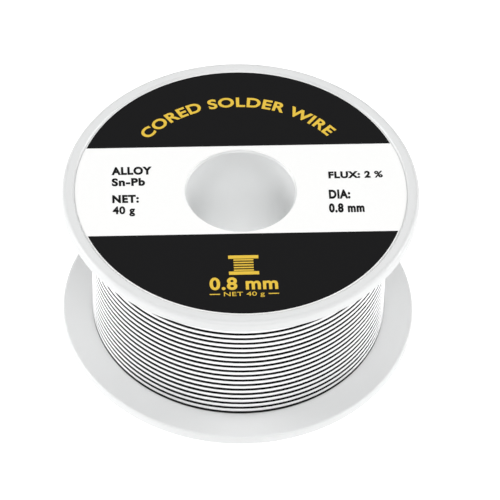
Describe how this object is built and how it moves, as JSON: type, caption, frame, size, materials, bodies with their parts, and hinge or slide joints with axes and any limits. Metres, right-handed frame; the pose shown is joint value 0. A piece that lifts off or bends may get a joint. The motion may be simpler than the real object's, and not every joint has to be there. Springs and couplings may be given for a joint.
{
  "type": "solder wire spool",
  "caption": "White plastic spool with a through bore, wound with layers of flux-cored solder wire, and with a round paper label on its top flange.",
  "frame": {"origin": "on the bore's axis, in the plane of the bottom flange's rim that the spool stands on", "axes": "+Z along the bore, from the plain bottom flange to the labelled top flange; the label's bands run along X, and a reader stands on the -Y side"},
  "size_m": [0.042, 0.042, 0.0216],
  "materials": {
    "spool_plastic": "white moulded polystyrene, semi-gloss",
    "label_paper": "coated white label paper",
    "label_black": "solid black print on coated paper",
    "label_gold": "gold print on coated paper",
    "solder": "bright drawn tin-lead wire",
    "rosin": "amber rosin flux"
  },
  "bodies": {
    "root": {"bottom_flange": "spool_plastic", "hub": "spool_plastic", "top_flange": "spool_plastic", "label": "label_paper", "label_print": "label_black", "wire_layer_1": "solder", "wire_layer_2": "solder", "wire_layer_3": "solder", "wire_layer_4": "solder", "wire_layer_5": "solder", "wire_start": "solder", "wire_tail": "solder", "flux_core": "rosin"}
  },
  "joints": []
}
